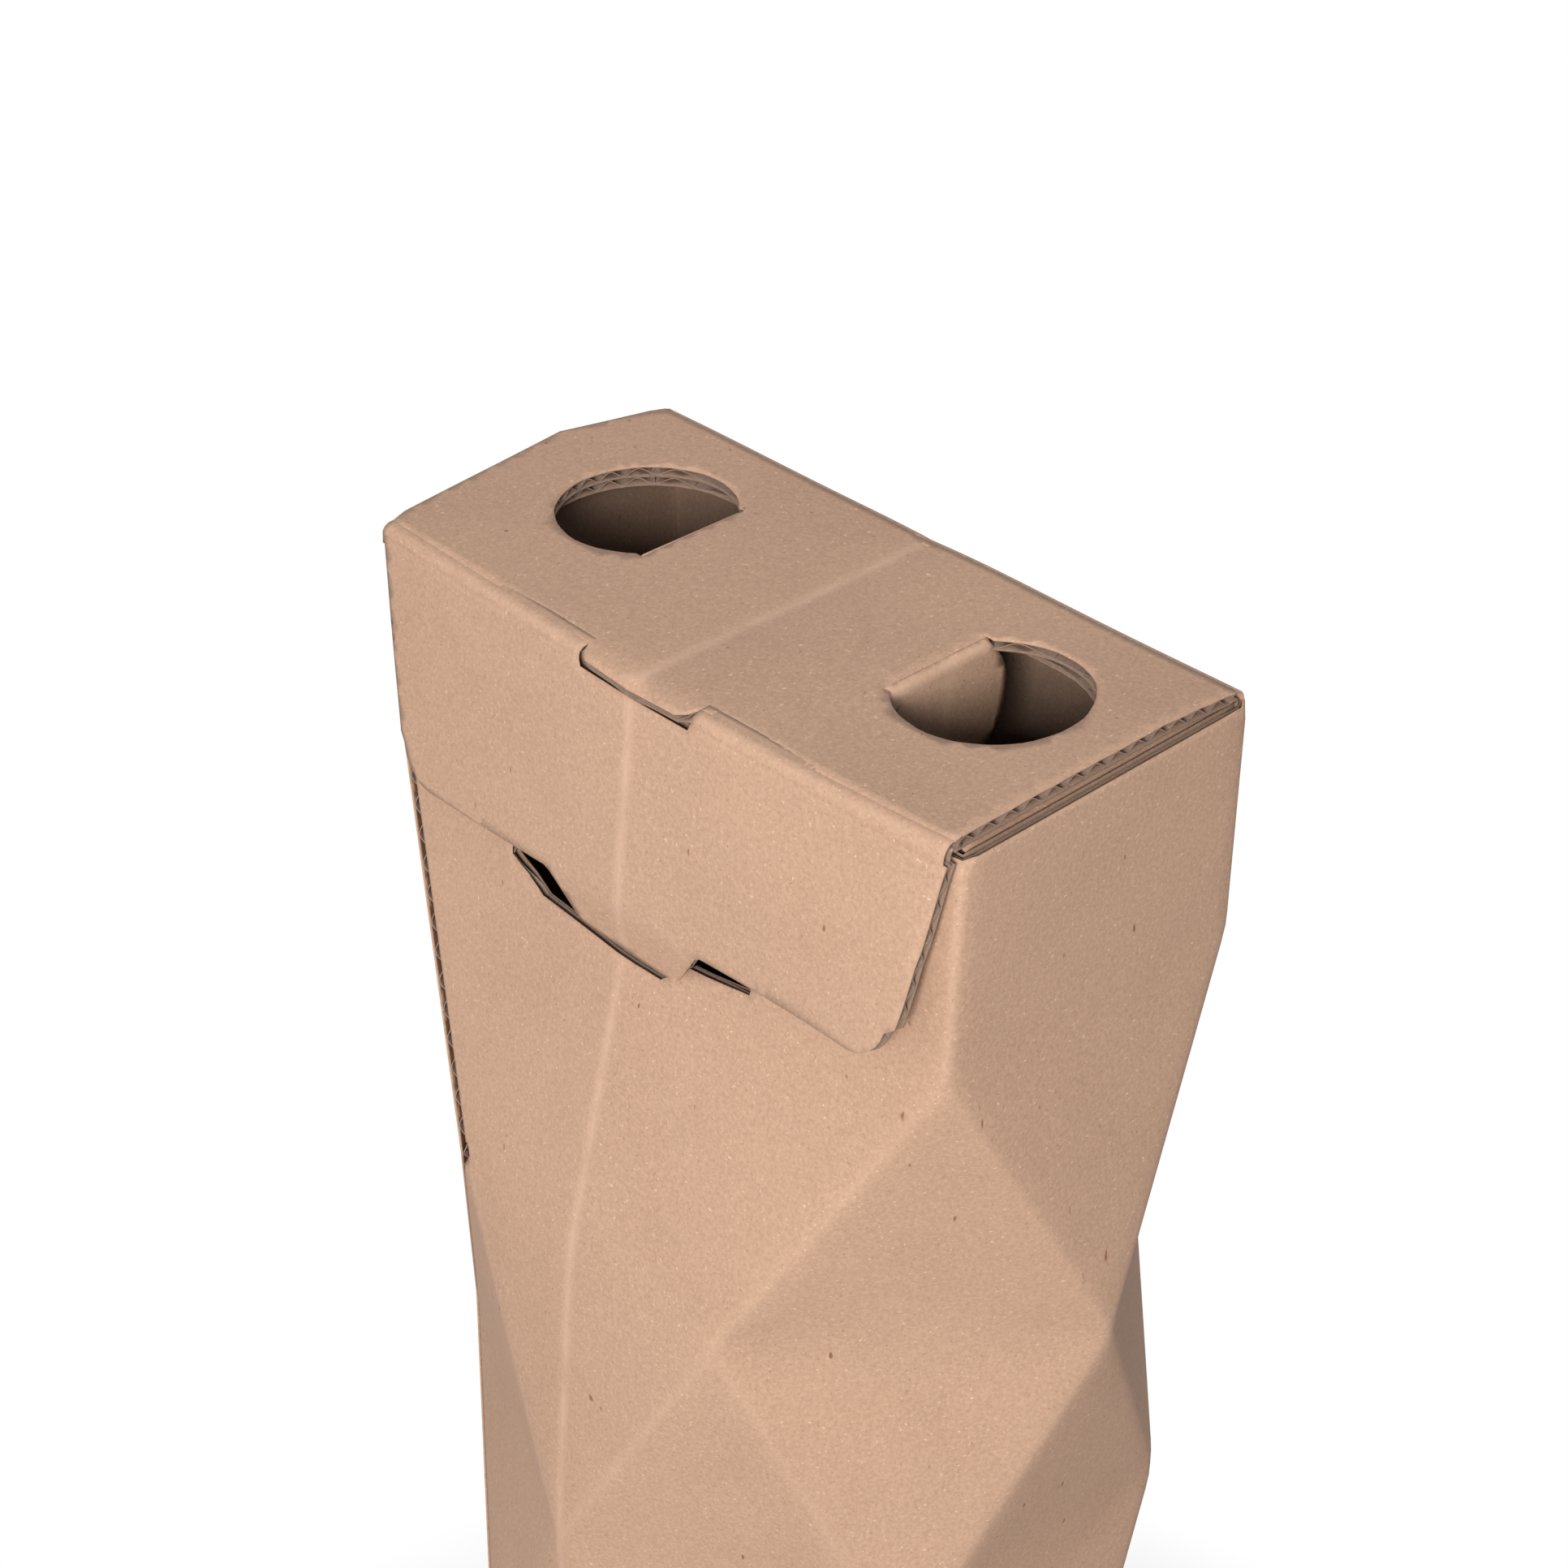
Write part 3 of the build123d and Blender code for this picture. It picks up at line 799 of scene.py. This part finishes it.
# Lid
FOLD = 1.5  # radius of the folds at the lid's front and back
BULGE = 1.3  # how far the lid's front swells in the middle
BEND = 1.1  # radius of the finger tabs' folds
RIGHT_X = HALF_W - 1.2
LID_POINT, LID_POINT_Y = 4.5, 8.0  # the point of the lid's left edge
TAB_LEFT, TAB_RIGHT = -9.5, 10.2  # ends of the lid's front tab
LID_SINK = 0.22
LID_CREASE_WIDTH = 0.8
chord_x = HOLE_X - CHORD
half_turn = math.acos(-CHORD / HOLE_R)  # half the angle of a finger hole's round rim
back_y = HALF_D - FOLD
front_y = -HALF_D + FOLD
tab_y = -HALF_D - BULGE - 0.5


def wobble(t, amount, seed):
    """A small uneven wave, the same in each run."""
    slow = math.sin(t * 0.61 + seed)
    middle = 0.6 * math.sin(t * 1.37 + 2.1 * seed)
    fast = 0.4 * math.sin(t * 2.9 + seed * 3.3)
    return amount * (slow + middle + fast)


def bulged(x):
    """A point of the lid's front edge."""
    return (float(x), front_y - BULGE * (1 - abs(x) / HALF_W))


def lid_outline():
    """Front edge with its tab from left to right, right edge, back, then the pointed left edge."""
    loop = [(-END_X, front_y)]
    loop += [bulged(x) for x in np.arange(-48, -10.9, 2.0)]
    loop += [(TAB_LEFT, front_y - BULGE * 0.81), (-9.0, tab_y + 0.9), (-7.8, tab_y + 0.1)]
    loop += [(-3, tab_y), (3, tab_y), (8.0, tab_y + 0.1), (9.4, tab_y + 0.9)]
    loop.append((TAB_RIGHT, front_y - BULGE * 0.8))
    loop += [bulged(x) for x in np.arange(12, 47.5, 2.0)]
    loop.append((RIGHT_X, front_y))
    for y in np.arange(-20, back_y - 1, 2.0):
        loop.append((RIGHT_X - abs(wobble(y, 0.08, 1.0)), float(y)))
    loop += [(RIGHT_X, back_y), (-HALF_W, back_y)]
    for y in np.arange(back_y - 2, 8.5, -2.0):
        loop.append((-HALF_W - LID_POINT * (HALF_D - y) / (HALF_D - LID_POINT_Y), float(y)))
    tip = -HALF_W - LID_POINT
    loop.append((tip, LID_POINT_Y))
    for y in np.arange(6.0, front_y + 1, -2.0):
        loop.append((tip + LID_POINT * (LID_POINT_Y - y) / (LID_POINT_Y + HALF_D), float(y)))
    return loop


def hole_outline(side):
    """A D-shaped finger hole with a slightly torn rim; the chord lies towards the middle."""
    rim = []
    for t in np.linspace(-half_turn, half_turn, 45):
        r = HOLE_R + wobble(t * 6, 0.07, 2.0 + side)
        rim.append((side * (HOLE_X + r * math.cos(t)), HOLE_Y + r * math.sin(t)))
    top = side * (chord_x - BEND)
    loop = [(top, rim[0][1])] + rim + [(top, rim[-1][1])]
    return loop if side > 0 else loop[::-1]


def lid_surface(q):
    """The lid's upper side: sunk along its middle, uneven, curled at the tab, raised at a corner."""
    x, y = q[:, 0], q[:, 1]
    dip = 0.22 * np.exp(-((x / 6.0) ** 2)) + 0.12 * np.exp(-((x / 1.0) ** 2))
    wave = 0.10 * np.sin(x * 0.13 + 0.7) * np.sin(y * 0.17 + 0.4)
    curl = 0.07 * np.clip(front_y - y, 0, 4) ** 2
    raised = 1.1 * np.clip((x - 22) / 27, 0, 1) ** 1.5 * np.clip((HALF_D - 2 - y) / 12, 0, 1)
    return np.column_stack([x, y, HEIGHT - LID_SINK - dip - wave - curl + raised])


def on_lid_fold(q):
    """Edges of the lid that are folded on rather than cut."""
    front = q[1] < front_y + 0.3 and not TAB_LEFT + 0.1 < q[0] < TAB_RIGHT - 0.1
    chord = abs(abs(q[0]) - (chord_x - BEND)) < 0.15 and abs(q[1] - HOLE_Y) < 9.0
    return q[1] > back_y - 0.2 or front or chord


def make_lid():
    outline = lid_outline()
    holes = [hole_outline(1), hole_outline(-1)]
    creases = [((0.0, front_y - BULGE + 0.5), (0.0, back_y))]
    v, f = flat_mesh(outline, holes, creases, 1.9)
    p = lid_surface(v)
    n, f = facing(p, f, (0, 0, 1))
    # A painted highlight along the lid's middle crease.
    crease = near_line(v, creases, LID_CREASE_WIDTH)
    names = ("lid_outer_liner", "lid_inner_liner", "lid_fluting")
    blank = (v, p, n, f)
    top = board(names, "lid", blank, crease, outline, holes, on_lid_fold, BOARD - THINNED)
    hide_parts("lid")


make_lid()

# Finger tabs: pushed-in discs that hang from their chords
TILT = {1: 0.06, -1: 0.02}
CURL = {1: 0.0042, -1: 0.00168}
TAB_FOLD = 0.9  # middle of the fold, along s


def tab_point(q, side):
    """q = (s, y): s runs from the lid over the bend and down."""
    s, y = q[:, 0], q[:, 1]
    top = HEIGHT - 0.24
    a = np.clip(s / BEND, 0, math.pi / 2)
    down = s - BEND * math.pi / 2
    hanging = chord_x - TILT[side] * down - CURL[side] * down * down
    x = np.where(down > 0, hanging, chord_x - BEND + BEND * np.sin(a))
    z = np.where(down > 0, top - BEND - down, top - BEND + BEND * np.cos(a))
    return np.column_stack([side * x, y, z])


def tab_outline(side):
    half_chord = math.sqrt(HOLE_R**2 - CHORD**2)
    start = BEND * math.pi / 2 - 0.4
    loop = [(0.0, HOLE_Y - half_chord + 0.1)]
    for t in np.linspace(-half_turn, half_turn, 41):
        r = HOLE_R - 0.1 + wobble(t * 6, 0.05, 4.0 + side)
        loop.append((start + CHORD + r * math.cos(t), HOLE_Y + r * math.sin(t)))
    return loop + [(0.0, HOLE_Y + half_chord - 0.1)]


def make_finger_tab(side, label):
    outline = tab_outline(side)
    folds = [((TAB_FOLD, HOLE_Y - 7.5), (TAB_FOLD, HOLE_Y + 7.5))]
    v, f = flat_mesh(outline, [], folds, 1.7)
    p = tab_point(v, side)
    n, f = facing(p, f, (side, 0, 0))
    # Painted highlight along the tab's fold, and a paler streak down its middle painted the same
    # way.
    bent = np.exp(-(((v[:, 0] - TAB_FOLD) / 0.9) ** 2))
    paler_streak = 0.5 * np.exp(-(((v[:, 1] - HOLE_Y - 1.5) / 0.7) ** 2))
    names = ["finger_tab_%s_%s" % (label, part) for part in ("liner", "inner", "fluting")]
    board(names, "lid", (v, p, n, f), bent + paler_streak, outline, skip=lambda q: q[0] < 0.5)


for side, label in ((1, "right"), (-1, "left")):
    make_finger_tab(side, label)

# Tuck flap
LEAN_SIDE, LEAN_MID = 4.0, 5.0  # how far the lower edge stands out, at its ends and in the middle
TAPER = 5.0
ROUND_R = 6.0  # radius of the lower corners
NOTCH = 2.6  # depth of the notch under the lid's front tab
NOTCH_LEFT, NOTCH_RIGHT = (-9.7, -9.3), (10.3, 9.8)  # x of its sides, at the fold and below
TIP_IN = 1.1
LIFT = 1.6  # how far the right lower corner curls out
TONGUE_EDGE = [(14.5, 0.0), (13.6, 0.5)]  # x and depth under the lower edge
TONGUE_TIP = [(9.4, 0.7), (8.6, 0.0)]  # x and height over the tongue's tip
tip_z = flap_z - TONGUE_DROP
low_x = END_X - TAPER
flap_top = HEIGHT - FOLD


def flap_y(x, z):
    """How far forward the flap's face stands: leaning out, with the tongue bent back in."""
    middle = 1 - np.abs(x) / END_X
    top = -HALF_D - BULGE * middle
    low = -HALF_D - LEAN_SIDE - (LEAN_MID - LEAN_SIDE) * middle
    t = (HEIGHT - z) / (HEIGHT - bottom_z(x))
    below = np.clip((bottom_z(x) - z) / TONGUE_DROP, 0, 1)
    lift = np.clip((x - 26) / 20, 0, 1) ** 2 * np.clip((t - 0.35) / 0.65, 0, 1) ** 1.5
    return top + (low - top) * np.clip(t, 0, 1) + TIP_IN * below - LIFT * lift


def flap_side(sign, rough):
    """A side edge from the fold down, then round the lower corner."""
    corner_z = bottom_z(sign * low_x) + ROUND_R
    loop = []
    for t in np.linspace(0, 1, 9):
        z = flap_top + (corner_z - flap_top) * t
        x = sign * (END_X - TAPER * (HEIGHT - z) / FLAP_DROP)
        loop.append((x + wobble(z, rough, 1.7), float(z)))
    for a in np.linspace(0, -math.pi / 2, 9)[1:]:
        x = low_x - ROUND_R + ROUND_R * math.cos(a)
        loop.append((sign * x, corner_z + ROUND_R * math.sin(a)))
    return loop


def flap_outline():
    edges = [[(s * x, bottom_z(s * x) - depth) for x, depth in TONGUE_EDGE] for s in (1, -1)]
    tips = [[(s * x, tip_z + rise) for x, rise in TONGUE_TIP] for s in (1, -1)]
    tongue = edges[0] + tips[0] + [(0.0, tip_z)] + tips[1][::-1] + edges[1][::-1]
    notch = [(NOTCH_LEFT[0], flap_top), (NOTCH_LEFT[1], HEIGHT - NOTCH)]
    notch += [(NOTCH_RIGHT[1], HEIGHT - NOTCH), (NOTCH_RIGHT[0], flap_top)]
    return flap_side(1, 0.05) + tongue + flap_side(-1, 0.0)[::-1] + notch


def flap_surface(q):
    """flap_y averaged along x, with a faint wave."""
    x, z = q[:, 0], q[:, 1]
    total = flap_y(x, z) * 2
    for d in (-1.6, -0.8, 0.8, 1.6):
        total = total + flap_y(np.clip(x + d, -END_X, END_X), z)
    y = total / 6 + 0.10 * np.sin(x * 0.21 + 1.0) * np.sin(z * 0.19)
    return np.column_stack([x, y, z])


def on_flap_fold(q):
    """Edges of the flap that are folded on or hidden in the notch."""
    return q[1] > flap_top - 0.2 or (q[1] > HEIGHT - NOTCH - 0.3 and abs(q[0]) < 12)


def make_tuck_flap():
    outline = flap_outline()
    creases = [((0.0, HEIGHT - NOTCH - 0.2), (0.0, tip_z))]
    v, f = flat_mesh(outline, [], creases, 1.7)
    p = flap_surface(v)
    n, f = facing(p, f, (0, -1, 0))
    crease = near_line(v, creases, LID_CREASE_WIDTH)
    names = ("tuck_flap_outer_liner", "tuck_flap_inner_liner", "tuck_flap_fluting")
    blank = (v, p, n, f)
    front = board(names, "tuck_flap", blank, crease, outline, (), on_flap_fold, BOARD - THINNED)
    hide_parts("tuck_flap")


make_tuck_flap()

# Folds
LAP = 1.2  # how far a fold's strip runs on under the sheets it joins
LAP_SHARE = 0.12  # the share of the strip's run in each lap
SUNK = 0.015
BACK_INSET = 0.05
FOLD_ROWS = np.concatenate([[0.0, 0.06], np.linspace(LAP_SHARE, 1 - LAP_SHARE, 13), [0.94, 1.0]])
FOLD_SHEETS = (("liner", 0.0, LINER, outer_mat), ("inner", BOARD - 0.5, BOARD - 0.2, inner_mat))


def strip_faces(nx, nt):
    """Faces of a closed strip of two layers, each nx by nt points."""
    k = nx * nt

    def at(i, j):
        return i * nt + j

    faces = []
    for i in range(nx - 1):
        for j in range(nt - 1):
            top = (at(i, j), at(i, j + 1), at(i + 1, j + 1), at(i + 1, j))
            faces += [top, tuple(c + k for c in top[::-1])]
    rims = [(at(0, j + 1), at(0, j)) for j in range(nt - 1)]
    rims += [(at(nx - 1, j), at(nx - 1, j + 1)) for j in range(nt - 1)]
    rims += [(at(i, 0), at(i + 1, 0)) for i in range(nx - 1)]
    rims += [(at(i + 1, nt - 1), at(i, nt - 1)) for i in range(nx - 1)]
    return faces + [(a, b, b + k, a + k) for a, b in rims]


def fold_strips(name, path, xs):
    """Two sheets along X whose section follows path(t, x) -> (y, z, ny, nz)."""
    points = [(x, *path(t, x)) for x in xs for t in FOLD_ROWS]
    # A painted highlight along the middle of each fold.
    marks = [0.4 * math.exp(-(((t - 0.5) / 0.2) ** 2)) for x in xs for t in FOLD_ROWS]
    faces = strip_faces(len(xs), len(FOLD_ROWS))
    for part, depth0, depth1, mat in FOLD_SHEETS:
        layers = []
        for depth in (depth0, depth1):
            layers += [(x, y - ny * depth, z - nz * depth) for x, y, z, ny, nz in points]
        strip = make_mesh("%s_%s" % (name, part), layers, faces)
        mark_crease(strip, marks)
        dress(strip, mat, None)
        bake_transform(strip)


def lid_height(x, y):
    return float(lid_surface(np.array([[x, y]]))[0][2])


def flap_depth(x, z):
    return float(flap_surface(np.array([[x, z]]))[0][1])


def turn_at(t):
    """Angle round the fold for a place between the two laps."""
    return (t - LAP_SHARE) / (1 - 2 * LAP_SHARE) * math.pi / 2


def front_path(t, x):
    """Over the front fold, from the lid's top down to the flap, lapping both."""
    y0 = front_y - BULGE * (1 - abs(x) / HALF_W)
    z0 = lid_height(x, y0)
    y1 = flap_depth(x, flap_top)
    if t < LAP_SHARE:
        y = y0 + LAP * (1 - t / LAP_SHARE)
        return y, lid_height(x, y) - SUNK, 0.0, 1.0
    if t > 1 - LAP_SHARE:
        z = flap_top - LAP * (t - (1 - LAP_SHARE)) / LAP_SHARE
        return flap_depth(x, z) + SUNK, z, -1.0, 0.0
    a = turn_at(t)
    y = y0 - (y0 - y1) * math.sin(a)
    z = flap_top + (z0 - flap_top) * math.cos(a)
    crush = 0.05 * math.sin(2 * a) * math.sin(x * 1.1 + 0.6 * math.sin(x * 0.37))
    return y - crush * math.sin(a), z + crush * math.cos(a), -math.sin(a), math.cos(a)


def back_path(t, x):
    """Over the back fold, from the lid's top down to the back wall, lapping both."""
    z0 = lid_height(x, back_y)
    low = WALL_TOP - 0.6
    if t < LAP_SHARE:
        y = back_y - LAP * (1 - t / LAP_SHARE)
        return y, lid_height(x, y) - SUNK, 0.0, 1.0
    if t > 1 - LAP_SHARE:
        return HALF_D - BACK_INSET - SUNK, low - LAP * (t - (1 - LAP_SHARE)) / LAP_SHARE, 1.0, 0.0
    a = turn_at(t)
    y = back_y + (HALF_D - BACK_INSET - back_y) * math.sin(a)
    return y, low + (z0 - low) * math.cos(a), math.sin(a), math.cos(a)


def make_folds():
    for label, x0, x1 in (("left", -END_X, TAB_LEFT - 0.1), ("right", TAB_RIGHT + 0.05, RIGHT_X)):
        name = "front_fold_%s" % label
        fold_strips(name, front_path, np.linspace(x0, x1, 41))
    xs = np.linspace(-HALF_W + 0.2, RIGHT_X, 61)
    fold_strips("back_fold", back_path, xs)


make_folds()

# Stage, light and camera
scene = bpy.context.scene
TARGET = Vector((0.0, 0.0, 0.30))
FADE_START, FADE_END = 0.10, 0.19  # metres from the middle, where the floor fades out
STAGE_Z = -0.0002
FOCAL, PHOTO_WIDTH, SENSOR = 3477, 1932, 36.0  # pixels, pixels, millimetres
CAMERA_PLACE = Vector((0.2144, -0.1950, 0.5167))
AZIMUTH, ELEVATION, ROLL = math.radians(48.02), math.radians(33.62), math.radians(-0.74)


def floor_material():
    """White round the object's foot, and clear further out."""
    material = bpy.data.materials.new("stage_white")
    material.use_nodes = True
    tree = material.node_tree
    white = tree.nodes["Principled BSDF"]
    white.inputs["Base Color"].default_value = (0.98, 0.98, 0.98, 1)
    white.inputs["Roughness"].default_value = 0.9
    white.inputs["Specular IOR Level"].default_value = 0.0
    place = tree.nodes.new("ShaderNodeTexCoord")
    far = tree.nodes.new("ShaderNodeVectorMath")
    far.operation = "LENGTH"
    fade = tree.nodes.new("ShaderNodeMapRange")
    fade.inputs["From Min"].default_value = FADE_START
    fade.inputs["From Max"].default_value = FADE_END
    clear = tree.nodes.new("ShaderNodeBsdfTransparent")
    blended = tree.nodes.new("ShaderNodeMixShader")
    tree.links.new(place.outputs["Object"], far.inputs[0])
    tree.links.new(far.outputs["Value"], fade.inputs["Value"])
    tree.links.new(fade.outputs[0], blended.inputs[0])
    tree.links.new(white.outputs[0], blended.inputs[1])
    tree.links.new(clear.outputs[0], blended.inputs[2])
    tree.links.new(blended.outputs[0], tree.nodes["Material Output"].inputs[0])
    return material


def make_stage():
    mesh = bpy.data.meshes.new("stage_floor")
    mesh.from_pydata([(-1, -1, 0), (1, -1, 0), (1, 1, 0), (-1, 1, 0)], [], [(0, 1, 2, 3)])
    stage_floor = bpy.data.objects.new("stage_floor", mesh)
    scene.collection.objects.link(stage_floor)
    stage_floor.data.materials.append(floor_material())
    stage_floor.location.z = STAGE_Z


def background(tree, colour, strength):
    node = tree.nodes.new("ShaderNodeBackground")
    node.inputs["Color"].default_value = (*colour, 1)
    node.inputs["Strength"].default_value = strength
    return node.outputs[0]


def make_world():
    """White where it is seen, mirrored or seen through, and a soft light from all around."""
    world = bpy.data.worlds.new("studio")
    scene.world = world
    world.use_nodes = True
    tree = world.node_tree
    tree.nodes.clear()
    path = tree.nodes.new("ShaderNodeLightPath")
    shown = path.outputs["Is Camera Ray"]
    for ray in ("Is Glossy Ray", "Is Transmission Ray"):
        either = tree.nodes.new("ShaderNodeMath")
        either.operation = "MAXIMUM"
        tree.links.new(shown, either.inputs[0])
        tree.links.new(path.outputs[ray], either.inputs[1])
        shown = either.outputs[0]
    switch = tree.nodes.new("ShaderNodeMixShader")
    tree.links.new(shown, switch.inputs[0])
    tree.links.new(background(tree, (0.9, 0.93, 1.0), 0.33), switch.inputs[1])
    tree.links.new(background(tree, WHITE, 1.0), switch.inputs[2])
    out = tree.nodes.new("ShaderNodeOutputWorld")
    tree.links.new(switch.outputs[0], out.inputs[0])


def area(name, place, power, size, colour=WHITE):
    lamp = bpy.data.lights.new(name, "AREA")
    lamp.energy = power
    lamp.size = size
    lamp.color = colour
    obj = bpy.data.objects.new(name, lamp)
    scene.collection.objects.link(obj)
    obj.location = place
    obj.rotation_mode = "QUATERNION"
    obj.rotation_quaternion = (Vector(place) - TARGET).to_track_quat("Z", "Y")


def make_camera():
    level = math.cos(ELEVATION)
    forward = Vector((-math.sin(AZIMUTH) * level, math.cos(AZIMUTH) * level, -math.sin(ELEVATION)))
    flat_right = Vector((math.cos(AZIMUTH), math.sin(AZIMUTH), 0))
    flat_up = flat_right.cross(forward)
    right = flat_right * math.cos(ROLL) + flat_up * math.sin(ROLL)
    up = -flat_right * math.sin(ROLL) + flat_up * math.cos(ROLL)
    lens = bpy.data.cameras.new("camera")
    lens.sensor_width = SENSOR
    lens.lens = FOCAL / PHOTO_WIDTH * SENSOR
    lens.clip_start = 0.01
    camera = bpy.data.objects.new("camera", lens)
    scene.collection.objects.link(camera)
    turn = Matrix((right, up, -forward)).transposed()
    camera.matrix_world = Matrix.Translation(CAMERA_PLACE) @ turn.to_4x4()
    return camera


make_stage()
make_world()
scene.view_settings.view_transform = "Standard"
area("key", (0.389, -0.526, 0.595), 4.8, 0.24, (1.0, 0.975, 0.945))
area("top", (-0.3, 0.5, 1.35), 2.6, 0.9)
area("fill", (-0.9, -0.8, 0.7), 1.9, 0.8, (0.93, 0.95, 1.0))
scene.camera = make_camera()
